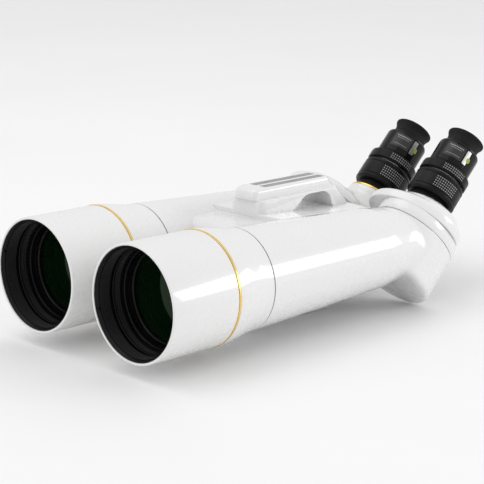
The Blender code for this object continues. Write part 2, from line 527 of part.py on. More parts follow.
def build_centre(b, mats):
    base = Matrix.Translation((0.0, FRONT_Y, AXIS_Z))
    nose, tail = 8.0 * MM, 23.0 * MM
    beyond = 20.0 * MM                # how far cutters run past what they cut
    frame = b.add("centre_frame", outline_mesh("centre_frame", [
        (FRAME_FRONT, FRAME_BOTTOM + nose), (FRAME_FRONT + nose, FRAME_BOTTOM),
        (FRAME_REAR - tail, FRAME_BOTTOM), (FRAME_REAR, FRAME_BOTTOM + tail),
        (FRAME_REAR, FRAME_TOP - tail), (FRAME_REAR - tail, FRAME_TOP),
        (FRAME_FRONT + nose, FRAME_TOP), (FRAME_FRONT, FRAME_TOP - nose)],
        -FRAME_HALF_X, FRAME_HALF_X), mats["white_paint"], base @ SIDEWAYS)
    channel = b.tool("frame_channel", outline_mesh(
        "frame_channel", rounded_box(CHANNEL_HALF_X, CHANNEL_HALF_Z, 6.0 * MM),
        -FRAME_REAR - beyond, -FRAME_FRONT + beyond), base @ ENDWAYS)
    boolean(frame, channel, "DIFFERENCE")
    for side, tag in ((1, "_r"), (-1, "_l")):
        tube, case = tube_frame(side), case_frame(side)
        tube_room = b.turned_tool("tube_room" + tag, [
            (0.0, 100.0 * MM), (SHIELD_R + GAP, 100.0 * MM), (TUBE_FRONT_R + 2 * GAP, TUBE_FRONT),
            (TUBE_REAR_R + 2 * GAP, TUBE_REAR), (TUBE_REAR_R + 2 * GAP, PRISM_Y),
            (0.0, PRISM_Y)], tube)
        case_room = b.tool("case_room" + tag, outline_mesh("case_room" + tag, ellipse(
            CASE_HALF_X + 2 * GAP, CASE_HALF_V + 2 * GAP, SEG_LARGE), CASE_BOTTOM - beyond,
            CASE_TOP + 3 * beyond), case)
        boolean(frame, tube_room, "DIFFERENCE")
        boolean(frame, case_room, "DIFFERENCE")

    foot = FRAME_TOP + GAP

    def plan(half_x, front, rear, radius):
        middle = (front + rear) / 2
        return [(x, y + middle) for x, y in rounded_box(half_x, (rear - front) / 2, radius)]

    shoulder_rear = HANDLE_REAR - HANDLE_RAKE * (BAR_BOTTOM - foot) / (HANDLE_TOP - foot)
    bar_rear = shoulder_rear - MM
    handle = b.add("handle", layered_mesh("handle", [
        (plan(PEDESTAL_HALF_X, HANDLE_FRONT + 3 * MM, HANDLE_REAR, 7 * MM), foot),
        (plan(PEDESTAL_HALF_X, HANDLE_FRONT + 3 * MM, shoulder_rear, 7 * MM), BAR_BOTTOM),
        (plan(HANDLE_HALF_X, HANDLE_FRONT, bar_rear, 5 * MM), BAR_BOTTOM),
        (plan(HANDLE_HALF_X, HANDLE_FRONT + MM, bar_rear - 6 * MM, 5 * MM), HANDLE_TOP - 3 * MM),
        (plan(HANDLE_HALF_X - 2 * MM, HANDLE_FRONT + 6 * MM, HANDLE_REAR - HANDLE_RAKE, 4 * MM),
         HANDLE_TOP)]), mats["white_paint"], base)
    gap_top = BAR_BOTTOM - MM
    finger_gap = b.tool("finger_gap", outline_mesh("finger_gap", [
        (GAP_FRONT, foot - MM), (GAP_REAR, foot - MM), (GAP_REAR - 5 * MM, gap_top - 5 * MM),
        (GAP_REAR - 11 * MM, gap_top), (GAP_FRONT + 25 * MM, gap_top),
        (GAP_FRONT + 19 * MM, gap_top - 2 * MM)], -PEDESTAL_HALF_X - beyond,
        PEDESTAL_HALF_X + beyond), base @ SIDEWAYS)
    boolean(handle, finger_gap, "DIFFERENCE")
    groove_front, groove_rear = HANDLE_FRONT + 17 * MM, HANDLE_REAR - 25 * MM
    for tag, centre in (("_r", GROOVE_X), ("_l", -GROOVE_X)):
        groove = b.tool("grip_groove" + tag, outline_mesh("grip_groove" + tag, [
            (groove_front, HANDLE_TOP - GROOVE_DEPTH), (groove_rear, HANDLE_TOP - GROOVE_DEPTH),
            (groove_rear, HANDLE_TOP + MM), (groove_front, HANDLE_TOP + MM)],
            centre - GROOVE_HALF, centre + GROOVE_HALF), base @ SIDEWAYS)
        boolean(handle, groove, "DIFFERENCE")

    low = -AXIS_Z
    rail = b.add("dovetail_bar", outline_mesh("dovetail_bar", [
        (-RAIL_BOTTOM_W / 2, low), (RAIL_BOTTOM_W / 2, low), (RAIL_BOTTOM_W / 2, low + 2 * MM),
        (RAIL_TOP_W / 2, FRAME_BOTTOM - GAP), (-RAIL_TOP_W / 2, FRAME_BOTTOM - GAP),
        (-RAIL_BOTTOM_W / 2, low + 2 * MM)], -RAIL_REAR, -RAIL_FRONT), mats["white_paint"],
        base @ ENDWAYS)
    for tag, along in zip(("_front", "_rear"), BOLT_YS):
        spot = base @ Matrix.Translation((0.0, along, 0.0))
        shank_r, head_r = BOLT_R + 0.4 * MM, BOLT_HEAD_R + 2 * GAP
        shelf, top = BOLT_NECK + GAP, BOLT_TOP + 2 * MM
        pocket = b.turned_tool("bolt_pocket" + tag, [
            (0.0, top), (shank_r, top), (shank_r, shelf), (head_r, shelf),
            (head_r, low - MM), (0.0, low - MM)], spot, SEG_SMALL)
        boolean(rail, pocket, "DIFFERENCE")
        boolean(frame, pocket, "DIFFERENCE")
        socket = BOLT_END + 2.8 * MM
        b.turned("mount_bolt" + tag, [
            (0.0, BOLT_TOP), (BOLT_R, BOLT_TOP), (BOLT_R, BOLT_NECK), (BOLT_HEAD_R, BOLT_NECK),
            (BOLT_HEAD_R, BOLT_END), (BOLT_SOCKET_R, BOLT_END), (BOLT_SOCKET_R, socket),
            (0.0, socket)], mats["satin_steel"], spot, None, SEG_SMALL)


def main():
    clear_scene()
    mats = {name: material(name, *values) for name, values in {
        "white_paint": ((0.86, 0.86, 0.84), 0.22),
        "black_anodised": ((0.03, 0.03, 0.032), 0.42, 0.6),
        "gloss_black": ((0.012, 0.012, 0.013), 0.12),
        "inner_black": ((0.01, 0.01, 0.01), 0.85),
        "gold_trim": ((0.78, 0.56, 0.18), 0.28, 1.0),
        "crown_glass": ((0.80, 0.93, 0.86), 0.02, 0.0, 1.0),
        "flint_glass": ((0.82, 0.90, 0.92), 0.02, 0.0, 1.0),
        "prism_glass": ((0.90, 0.95, 0.95), 0.02, 0.0, 1.0),
        "satin_steel": ((0.62, 0.62, 0.63), 0.32, 1.0),
        "chrome": ((0.86, 0.87, 0.88), 0.10, 1.0),
        "rubber": ((0.02, 0.02, 0.02), 0.75),
    }.items()}
    b = Builder()
    for side, tag in ((1, "_r"), (-1, "_l")):
        build_front(b, mats, side, tag)
        build_case(b, mats, side, tag)
        turret = build_turret(b, mats, side, tag)
        build_eyepiece(b, mats, side, tag, turret)
    build_centre(b, mats)


main()
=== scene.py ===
"""Looks of a giant binocular telescope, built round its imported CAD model.

Lengths in the shape code are millimetres in one of four local frames: the tube frame (height runs
back from the front rim), the case frame (height runs along the prism exit axis), the eye frame
(height runs up the eyepiece axis) and the centre frame (Y back from the front rims, Z up from the
tube axes).  Meshes are stored in metres in the shared frame.
"""

import json
import math

import bmesh
import bpy
import numpy as np
from mathutils import Matrix, Vector


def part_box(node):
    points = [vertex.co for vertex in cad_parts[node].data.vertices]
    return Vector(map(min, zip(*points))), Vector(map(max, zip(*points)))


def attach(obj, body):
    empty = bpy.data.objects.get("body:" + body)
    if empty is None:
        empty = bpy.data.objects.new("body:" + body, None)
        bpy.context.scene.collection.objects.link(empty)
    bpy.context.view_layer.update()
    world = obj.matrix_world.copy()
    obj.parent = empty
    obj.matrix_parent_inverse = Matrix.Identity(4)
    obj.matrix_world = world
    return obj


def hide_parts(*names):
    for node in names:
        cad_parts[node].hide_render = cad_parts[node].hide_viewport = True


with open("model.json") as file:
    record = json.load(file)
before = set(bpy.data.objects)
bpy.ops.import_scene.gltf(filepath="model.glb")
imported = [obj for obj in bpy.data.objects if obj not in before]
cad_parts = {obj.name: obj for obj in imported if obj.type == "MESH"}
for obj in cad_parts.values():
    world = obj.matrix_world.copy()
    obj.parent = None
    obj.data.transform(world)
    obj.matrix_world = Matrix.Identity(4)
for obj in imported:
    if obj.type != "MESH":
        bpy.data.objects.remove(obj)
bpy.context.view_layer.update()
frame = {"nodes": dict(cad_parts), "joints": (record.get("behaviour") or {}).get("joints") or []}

MM = 0.001
TURN = 2.0 * math.pi
SIDES = (("_r", "right", 1.0), ("_l", "left", -1.0))

# ---- places taken from the CAD ------------------------------------------------------------
shield_low, shield_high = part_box("dew_shield_r")
TUBE_X = (shield_low.x + shield_high.x) / 2
AXIS_Z = (shield_low.z + shield_high.z) / 2
FRONT_Y = shield_low.y
joints = {joint["name"]: joint for joint in frame["joints"]}
swivel, focus = joints["right_turret_swivel"], joints["right_focus"]
CASE_POINT = Vector(swivel["pos_m"])
TILTED = Matrix.Rotation(-math.radians(45.0), 4, "X")
EYE_OFFSET = 70.0                       # the focus joint's point lies this far below the eye datum
EYE_POINT = Vector(focus["pos_m"]) + Vector(focus["axis"]) * EYE_OFFSET * MM
PRISM_Y = (CASE_POINT.y - FRONT_Y) / MM

# ---- sizes, millimetres -------------------------------------------------------------------
SHIELD_R, SHIELD_BORE, SHIELD_END = 50.5, 48.4, 71.8
CELL_R = 48.1
GOLD_R, GOLD_FRONT, GOLD_REAR = 50.8, 72.1, 74.1
SHOULDER_FRONT, SHOULDER_REAR = 74.4, 118.6
TUBE_FRONT, TUBE_REAR = 118.9, 292.0
TUBE_FRONT_R, TUBE_REAR_R = 45.2, 37.4
CASE_A, CASE_B = 37.6, 46.0
CASE_BOTTOM, CASE_TOP = -45.0, 2.0
COVER_BOTTOM, COVER_TOP = 2.3, 13.2
TURRET_R, BOSS_R = 39.5, 25.0
TURRET_BOTTOM, BOSS_TOP = 13.5, 47.0
LOBE = (-(CASE_POINT.x - EYE_POINT.x) / MM, 26.0)
BULGE, BULGE_R, BULGE_TOP = (-12.0, -6.0), 40.0, 25.0
EYE_BODY_R = 21.0
FRAME_HALF, FRAME_UNDER, FRAME_LEVEL = 34.0, -40.0, 33.0
HANDLE_FRONT, HANDLE_REAR, HANDLE_HALF = 187.0, 307.0, 13.5
HANDLE_FOOT, HANDLE_UNDER, HANDLE_TOP, HANDLE_RAKE = 33.0, 50.0, 60.0, 22.0
GROOVE_X, GROOVE_Y, GROOVE_HALF = 6.0, 243.0, (4.6, 39.0)
LARGE, SMALL, FINE = 128, 96, 160       # facets round the tubes, the eyepieces and the castings
SMOOTH, CRISP = 40.0, 30.0              # degrees past which an edge is shaded sharp
ROOT_HALF = math.sqrt(0.5)


def tube_frame(side):
    return Matrix.Translation((side * TUBE_X, FRONT_Y, AXIS_Z)) @ Matrix.Rotation(-TURN / 4, 4, "X")


def case_frame(side):
    return Matrix.Translation((side * CASE_POINT.x, CASE_POINT.y, CASE_POINT.z)) @ TILTED


def eye_frame(side):
    return Matrix.Translation((side * EYE_POINT.x, EYE_POINT.y, EYE_POINT.z)) @ TILTED


def at(place, x, y, z):
    """A point given in millimetres in a local frame, in the shared frame."""
    return place @ Vector((x * MM, y * MM, z * MM))


def eased(share):
    """Runs from 0 to 1 with level ends."""
    return share * share * (3.0 - 2.0 * share)


# ---- materials ----------------------------------------------------------------------------
NOISE_BAND = (0.3, 0.7)                 # the stretch of a noise's values that a finish spreads over


class Shader:
    """A material whose colour, roughness and fine relief each follow a noise."""

    def __init__(self, name):
        self.material = bpy.data.materials.new(name)
        self.material.use_nodes = True
        self.tree = self.material.node_tree
        self.surface = self.tree.nodes["Principled BSDF"]
        self.place = self.tree.nodes.new("ShaderNodeTexCoord").outputs["Object"]

    def set(self, **values):
        """Fixed values of the surface; an underscore stands for a space."""
        for key, value in values.items():
            self.surface.inputs[key.replace("_", " ")].default_value = value

    def noise(self, scale, detail=3.0):
        noise = self.tree.nodes.new("ShaderNodeTexNoise")
        noise.inputs["Scale"].default_value = scale
        noise.inputs["Detail"].default_value = detail
        noise.inputs["Roughness"].default_value = 0.55
        self.tree.links.new(self.place, noise.inputs["Vector"])
        return noise.outputs["Fac"]

    def shade(self, noise, low, high):
        ramp = self.tree.nodes.new("ShaderNodeValToRGB")
        for element, level, colour in zip(ramp.color_ramp.elements, NOISE_BAND, (low, high)):
            element.position = level
            element.color = (*colour, 1.0)
        self.tree.links.new(noise, ramp.inputs["Fac"])
        self.tree.links.new(ramp.outputs["Color"], self.surface.inputs["Base Color"])

    def rough(self, noise, low, high):
        spread = self.tree.nodes.new("ShaderNodeMapRange")
        spread.inputs["From Min"].default_value = NOISE_BAND[0]
        spread.inputs["From Max"].default_value = NOISE_BAND[1]
        spread.inputs["To Min"].default_value = low
        spread.inputs["To Max"].default_value = high
        self.tree.links.new(noise, spread.inputs["Value"])
        self.tree.links.new(spread.outputs["Result"], self.surface.inputs["Roughness"])

    def relief(self, noise, strength, depth=0.00003):
        """Bumps as deep as the depth, in metres."""
        bump = self.tree.nodes.new("ShaderNodeBump")
        bump.inputs["Strength"].default_value = strength
        bump.inputs["Distance"].default_value = depth
        self.tree.links.new(noise, bump.inputs["Height"])
        self.tree.links.new(bump.outputs["Normal"], self.surface.inputs["Normal"])


def white_paint():
    s = Shader("white_gloss_paint")
    s.set(Coat_Weight=0.9, Coat_Roughness=0.04, Specular_IOR_Level=0.4)
    s.shade(s.noise(14.0), (0.788, 0.790, 0.787), (0.803, 0.805, 0.801))
    s.rough(s.noise(90.0, 4.0), 0.24, 0.31)
    s.relief(s.noise(650.0, 2.0), 0.02)
    return s.material


def black_anodised(name="black_anodised", low=0.006, high=0.011, rough=(0.32, 0.44), metallic=0.35):
    s = Shader(name)
    s.set(Metallic=metallic, Specular_IOR_Level=0.2)
    s.shade(s.noise(60.0, 5.0), (low, low, low), (high, high, high * 1.05))
    s.rough(s.noise(220.0, 4.0), *rough)
    s.relief(s.noise(2600.0), 0.12)
    return s.material


def flat_black():
    s = Shader("flat_black")
    s.shade(s.noise(120.0, 4.0), (0.004, 0.004, 0.004), (0.008, 0.008, 0.008))
    s.rough(s.noise(300.0), 0.75, 0.95)
    s.relief(s.noise(3000.0, 4.0), 0.3, 0.00005)
    return s.material


def gloss_black():
    s = Shader("gloss_black")
    s.set(Coat_Weight=0.15, Coat_Roughness=0.03, Specular_IOR_Level=0.08)
    s.shade(s.noise(40.0), (0.006, 0.006, 0.0065), (0.010, 0.010, 0.0105))
    s.rough(s.noise(180.0, 4.0), 0.10, 0.18)
    s.relief(s.noise(900.0, 2.0), 0.03)
    return s.material


def rubber(name="rubber", low=(0.008,) * 3, high=(0.014,) * 3, rough=(0.55, 0.72), shine=0.14):
    """Rubber, and the matt plastics and paints that differ from it in colour and shine."""
    s = Shader(name)
    s.set(Specular_IOR_Level=shine)
    s.shade(s.noise(80.0, 5.0), low, high)
    s.rough(s.noise(260.0, 4.0), *rough)
    s.relief(s.noise(2200.0, 5.0), 0.25, 0.00006)
    return s.material


def metal(name, low, high, rough):
    s = Shader(name)
    s.set(Metallic=1.0)
    s.shade(s.noise(70.0, 4.0), low, high)
    s.rough(s.noise(300.0, 4.0), *rough)
    s.relief(s.noise(1800.0), 0.08)
    return s.material


def glass(name, tint, film=0.0):
    """Clear glass; film is the thickness of its coating in nanometres."""
    s = Shader(name)
    s.set(Transmission_Weight=1.0, IOR=1.52, Roughness=0.0)
    if film:
        s.set(Thin_Film_Thickness=film, Thin_Film_IOR=1.34)
    s.shade(s.noise(25.0), tint, [min(1.0, share * 1.05) for share in tint])
    return s.material


def coated_glass_painted_shade():
    """Objective glass, drawn opaque: its dark green base colour is painted shade of the dark tube behind
    the glass, with a faint painted green sheen; the coat and specular tints give the green sheen of its
    coating.
    """
    s = Shader("coated_glass_painted_shade")
    s.set(Roughness=0.05, Specular_IOR_Level=0.16, Coat_Weight=0.12, Coat_Roughness=0.02,
          Coat_Tint=(0.30, 0.85, 0.35, 1.0), Specular_Tint=(0.35, 0.8, 0.2, 1.0))
    s.shade(s.noise(20.0, 2.0), (0.0015, 0.006, 0.002), (0.002, 0.010, 0.003))
    return s.material


def floor_white():
    s = Shader("floor_white")
    s.shade(s.noise(3.0), (0.90, 0.90, 0.90), (0.92, 0.92, 0.92))
    s.rough(s.noise(40.0), 0.7, 0.8)
    return s.material


MATS = {
    "white": white_paint(),
    "black": black_anodised(),
    # pale grey on the black knurl studs: painted highlight on their tops
    "knurl": rubber("knurl_painted_highlight", (0.24,) * 3, (0.32,) * 3, (0.3, 0.4), 0.5),
    "cell": black_anodised("cell_black", 0.005, 0.009, (0.22, 0.34), 0.45),
    "flat": flat_black(),
    "gloss": gloss_black(),
    "rubber": rubber(),
    "grip": rubber("grip_grey", (0.30,) * 3, (0.36,) * 3, (0.45, 0.6)),
    "gold": metal("gold", (0.86, 0.56, 0.13), (0.95, 0.68, 0.20), (0.18, 0.30)),
    "steel": metal("satin_steel", (0.56, 0.56, 0.57), (0.68, 0.68, 0.69), (0.26, 0.38)),
    "chrome": metal("chrome", (0.82, 0.83, 0.84), (0.88, 0.89, 0.90), (0.06, 0.12)),
    # dark objective glass: painted shade of the tube behind it
    "objective": coated_glass_painted_shade(),
    "lens": glass("eye_glass", (0.80, 0.93, 0.86), 420.0),
    "prism": glass("prism_glass", (0.90, 0.95, 0.95)),
    "green": rubber("badge_green", (0.22, 0.33, 0.035), (0.30, 0.44, 0.05), (0.25, 0.4), 0.4),
    "mark": rubber("mark_pale", (0.36,) * 3, (0.46,) * 3, (0.35, 0.5)),
    "foil": metal("foil_label", (0.42, 0.42, 0.41), (0.55, 0.55, 0.53), (0.30, 0.42)),
    "panel": rubber("label_grey", (0.018,) * 3, (0.026,) * 3, (0.3, 0.42), 0.4),
}


# ---- mesh making --------------------------------------------------------------------------
def outward_mesh(name, verts, faces):
    """A mesh with doubled corners joined and its faces turned outwards."""
    mesh = bpy.data.meshes.new(name)
    mesh.from_pydata([tuple(v) for v in verts], [], faces)
    shape = bmesh.new()
    shape.from_mesh(mesh)
    bmesh.ops.remove_doubles(shape, verts=shape.verts, dist=1e-7)
    bmesh.ops.recalc_face_normals(shape, faces=shape.faces)
    shape.to_mesh(mesh)
    shape.free()
    return mesh


def finish_mesh(name, verts, faces, mat, body, slot, nodes=(), smooth=True, angle=32.0):
    """One piece: a mesh in metres, its material, the body it rides on and what it stands for."""
    return add_piece(name, outward_mesh(name, verts, faces), mat, body, nodes, smooth, angle)


def add_piece(name, mesh, mat, body, nodes=(), smooth=True, angle=32.0):
    """Edges sharper than the angle, in degrees, stay crisp on a smooth piece."""
    if smooth:
        mesh.shade_smooth()
        mesh.set_sharp_from_angle(angle=math.radians(angle))
    mesh.materials.clear()
    mesh.materials.append(MATS[mat])
    piece = bpy.data.objects.new(name, mesh)
    bpy.context.scene.collection.objects.link(piece)
    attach(piece, body)
    if nodes:
        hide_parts(*nodes)
    return piece


def fillet(points, closed=True, steps=4):
    """Rounds the corners of a profile: a point's third number is its corner radius."""
    result = []
    count = len(points)
    for i, point in enumerate(points):
        radius = point[2] if len(point) > 2 else 0.0
        here = Vector(point[:2])
        ends = not closed and i in (0, count - 1)
        if radius <= 0.0 or ends:
            result.append(tuple(here))
            continue
        before = Vector(points[i - 1][:2]) - here
        after = Vector(points[(i + 1) % count][:2]) - here
        cut_a = min(radius, before.length * 0.48)
        cut_b = min(radius, after.length * 0.48)
        start, end = here + before.normalized() * cut_a, here + after.normalized() * cut_b
        for step in range(steps + 1):
            share = step / steps
            result.append(tuple(start * (1 - share) ** 2 + here * 2 * share * (1 - share)
                                + end * share ** 2))
    return result


def lathe_data(points, place, segments, closed):
    """Vertices and faces of a turned profile of (radius, height) in millimetres."""
    verts, faces, rows = [], [], []
    for radius, height in points:
        if radius < 1e-6:
            rows.append([len(verts)] * segments)
            verts.append(at(place, 0.0, 0.0, height))
            continue
        rows.append(list(range(len(verts), len(verts) + segments)))
        for i in range(segments):
            angle = TURN * i / segments
            verts.append(at(place, radius * math.cos(angle), radius * math.sin(angle), height))
    pairs = list(zip(rows, rows[1:]))
    if closed:
        pairs.append((rows[-1], rows[0]))
    for low, high in pairs:
        for i in range(segments):
            j = (i + 1) % segments
            face = [low[i], low[j], high[j], high[i]]
            face = [v for k, v in enumerate(face) if v not in face[:k]]
            if len(face) > 2:
                faces.append(face)
    return verts, faces


def lathe(name, points, place, mat, body, slot, nodes=(), segments=LARGE, closed=True, angle=32.0):
    """A turned piece; closed joins the profile's last point to its first."""
    verts, faces = lathe_data(fillet(points, closed), place, segments, closed)
    return finish_mesh(name, verts, faces, mat, body, slot, nodes, True, angle)


def lens(name, radius, low, low_rise, high, high_rise, place, mat, body, slot, nodes):
    """Glass between a front and a back face, each with a rise at its centre."""
    shares = [i / 10 for i in range(11)]
    top = [(radius * share, high + high_rise * (1.0 - share ** 2)) for share in shares]
    bottom = [(radius * share, low + low_rise * (1.0 - share ** 2)) for share in shares]
    return lathe(name, top + bottom[::-1], place, mat, body, slot, nodes, SMALL, False)


def rings_mesh(rings):
    """Faces through rings of points with equal counts, end caps included."""
    verts = [point for ring in rings for point in ring]
    count = len(rings[0])
    faces = []
    for row in range(len(rings) - 1):
        for i in range(count):
            j = (i + 1) % count
            faces.append([row * count + i, row * count + j, (row + 1) * count + j,
                          (row + 1) * count + i])
    faces.append(list(range(count)))
    faces.append([(len(rings) - 1) * count + i for i in range(count)])
    return verts, faces


def rounded_box(half_x, half_y, radius):
    """Outline of a rectangle with rounded corners."""
    steps = 6
    points = []
    for corner in range(4):
        sign_x = 1.0 if corner in (0, 3) else -1.0
        sign_y = 1.0 if corner in (0, 1) else -1.0
        for step in range(steps + 1):
            angle = (corner + step / steps) * TURN / 4
            points.append((sign_x * (half_x - radius) + radius * math.cos(angle),
                           sign_y * (half_y - radius) + radius * math.sin(angle)))
    return points


def temporary(name, verts, faces):
    """A plain solid, which carved() cuts or cuts with and then removes."""
    made = bpy.data.objects.new(name, outward_mesh(name, verts, faces))
    bpy.context.scene.collection.objects.link(made)
    return made


def carved(base, cutters, bevel):
    """The base solid with the cutters taken away and its edges rounded, as a plain mesh."""
    for cutter in cutters:
        step = base.modifiers.new("cut", "BOOLEAN")
        step.operation = "DIFFERENCE"
        step.solver = "EXACT"
        step.object = cutter
    step = base.modifiers.new("bevel", "BEVEL")
    step.width = bevel
    step.segments = 3
    step.limit_method = "ANGLE"
    step.angle_limit = math.radians(38.0)
    bpy.context.view_layer.update()
    graph = bpy.context.evaluated_depsgraph_get()
    mesh = bpy.data.meshes.new_from_object(base.evaluated_get(graph))
    for used in [base, *cutters]:
        bpy.data.objects.remove(used, do_unlink=True)
    return mesh


# ---- smooth castings from blended solids ----------------------------------------------------
def smooth_min(a, b, blend):
    """The lesser of two distances, rounded where they cross."""
    share = np.clip(0.5 + 0.5 * (b - a) / blend, 0.0, 1.0)
    return b * (1.0 - share) + a * share - blend * share * (1.0 - share)


def smooth_max(a, b, blend):
    return -smooth_min(-a, -b, blend)


def cast_rays(origins, directions, field):
    """The point along each ray where the field turns positive, found by halving."""
    low = np.zeros(len(origins))
    high = np.full(len(origins), 90.0)
    for _ in range(26):
        middle = (low + high) / 2
        inside = field(origins + directions * middle[:, None]) < 0.0
        low = np.where(inside, middle, low)
        high = np.where(inside, high, middle)
    return origins + directions * ((low + high) / 2)[:, None]


def casting_field(points):
    """Optical tube blended into the prism housing; X from the tube axis, Y from the rim, Z up."""
    neck_start, neck_length, neck_drop = 278.0, 38.0, 2.6
    least_blend, more_blend, blend_length = 0.4, 3.0, 24.0
    x, y, z = points.T
    back = y - PRISM_Y
    taper = (TUBE_REAR_R - TUBE_FRONT_R) / (TUBE_REAR - TUBE_FRONT)
    neck = eased(np.clip((y - neck_start) / neck_length, 0.0, 1.0))
    radius = TUBE_FRONT_R + (y - TUBE_FRONT) * taper - neck_drop * neck
    tube = smooth_max(np.hypot(x, z) - radius, back + 2.0, 8.0)
    along, across = (back + z) * ROOT_HALF, (back - z) * ROOT_HALF
    ratio = np.sqrt((x / CASE_A) ** 2 + (across / CASE_B) ** 2)
    slope = np.sqrt((x / CASE_A ** 2) ** 2 + (across / CASE_B ** 2) ** 2) + 1e-9
    wall = ratio * (ratio - 1.0) / slope
    case = smooth_max(wall, CASE_BOTTOM - along, 6.0)
    low_down = np.clip((CASE_TOP - 2.0 - along) / blend_length, 0.0, 1.0)
    return smooth_min(tube, case, least_blend + more_blend * low_down)


def casting(side, tag):
    """Rings square to the tube, which then fan round to the slope of the prism housing's top."""
    angles = np.arange(FINE) * TURN / FINE
    fan_height, start = 60.0, TUBE_FRONT + 0.5
    fan_y = PRISM_Y + CASE_TOP * math.sqrt(2.0) - fan_height
    rings = []

    def ring(y, tilt=0.0, inset=0.0, shift=0.0):
        up = np.array((0.0, -math.sin(tilt), math.cos(tilt)))
        directions = np.cos(angles)[:, None] * np.array((1.0, 0.0, 0.0)) + np.sin(angles)[:, None] * up
        found = cast_rays(np.tile((0.0, y, 0.0), (FINE, 1)), directions, casting_field)
        rings.append(found - directions * inset + np.array((0.0, shift, 0.0)))

    ring(start, inset=3.0, shift=0.3)
    ring(start, inset=0.4, shift=-0.1)
    for y in np.concatenate([np.linspace(start, 272.0, 26), np.linspace(275.0, fan_y, 9)]):
        ring(y)
    for tilt in np.linspace(0.0, math.pi / 4, 64)[1:]:
        ring(fan_y + fan_height * math.tan(tilt), tilt)

    lift = np.array((0.0, ROOT_HALF, ROOT_HALF))
    edge = rings[-1]
    middle = edge.mean(axis=0)
    inward = (middle - edge) / np.linalg.norm(middle - edge, axis=1)[:, None]
    rings[-1] = edge - lift * 0.5
    rings.append(edge + inward * 0.15 - lift * 0.15)
    rings.append(edge + inward * 0.5)
    rings.append(edge + inward * 12.0)
    world = [[(side * (TUBE_X + x * MM), FRONT_Y + y * MM, AXIS_Z + z * MM) for x, y, z in points]
             for points in rings]
    finish_mesh("main_casting" + tag, *rings_mesh(world), "white", "binocular", "white_paint",
                ("optical_tube" + tag, "prism_housing" + tag), True, SMOOTH)


def turret_field(points):
    """Domed pear with its boss and low bulge; X and Y across the case frame, Z along the exit axis."""
    steepness, dome_foot, dome_rise, cap_depth = 22.0, 18.5, 20.5, 8.0
    boss_drop, boss_round, boss_blend, bulge_blend = 1.6, 2.5, 9.0, 8.0
    x, y, along = points.T
    lobe_x, lobe_y = LOBE
    span = math.hypot(lobe_x, lobe_y)
    ux, uy = lobe_x / span, lobe_y / span
    forward = x * ux + y * uy
    aside = np.abs(x * uy - y * ux)
    lean = (TURRET_R - BOSS_R) / span
    rise = math.sqrt(1.0 - lean * lean)
    where = -lean * aside + rise * forward
    pear = np.where(where < 0.0, np.hypot(aside, forward) - TURRET_R,
                    np.where(where > rise * span, np.hypot(aside, forward - span) - BOSS_R,
                             aside * rise + forward * lean - TURRET_R))
    level = np.maximum(0.0, along - dome_foot) / dome_rise
    plan = np.maximum(0.0, (pear + TURRET_R) / TURRET_R)
    dome = (np.sqrt(plan ** 2 + level ** 2) - 1.0) * steepness
    boss_wall = np.hypot(x - lobe_x, y - lobe_y) - BOSS_R
    boss = smooth_max(boss_wall, along - BOSS_TOP + boss_drop, boss_round)
    spread = np.hypot(x - BULGE[0], y - BULGE[1]) / BULGE_R
    cap = np.maximum(0.0, along - BULGE_TOP + cap_depth) / cap_depth
    bulge = ((spread ** 4 + cap ** 4) ** 0.25 - 1.0) * steepness
    return smooth_min(smooth_min(dome, boss, boss_blend), bulge, bulge_blend)


def turret(side, tag, body):
    """Rays from a point low in the pear, from straight up down to the level of its foot."""
    count = 176
    angles = np.arange(count) * TURN / count
    core = np.array((LOBE[0] * 0.4, LOBE[1] * 0.4, TURRET_BOTTOM + 1.6))
    rings = []
    for polar in np.linspace(0.0, math.pi / 2, 84)[1:]:
        directions = np.stack([np.cos(angles) * math.sin(polar), np.sin(angles) * math.sin(polar),
                               np.full(count, math.cos(polar))], axis=1)
        rings.append(cast_rays(np.tile(core, (count, 1)), directions, turret_field))
    wall = rings[-1]
    inward = core - wall
    inward = inward / np.linalg.norm(inward, axis=1)[:, None]
    for drop, inset in ((0.9, 0.0), (1.35, 0.15), (1.6, 0.6), (1.6, 9.0)):
        rings.append(wall + inward * inset - np.array((0.0, 0.0, drop)))
    place = case_frame(side)
    world = [[at(place, side * x, y, z) for x, y, z in points] for points in rings]
    finish_mesh("turret_shell" + tag, *rings_mesh(world), "white", body, "white_paint",
                ("turret" + tag,), True, SMOOTH)


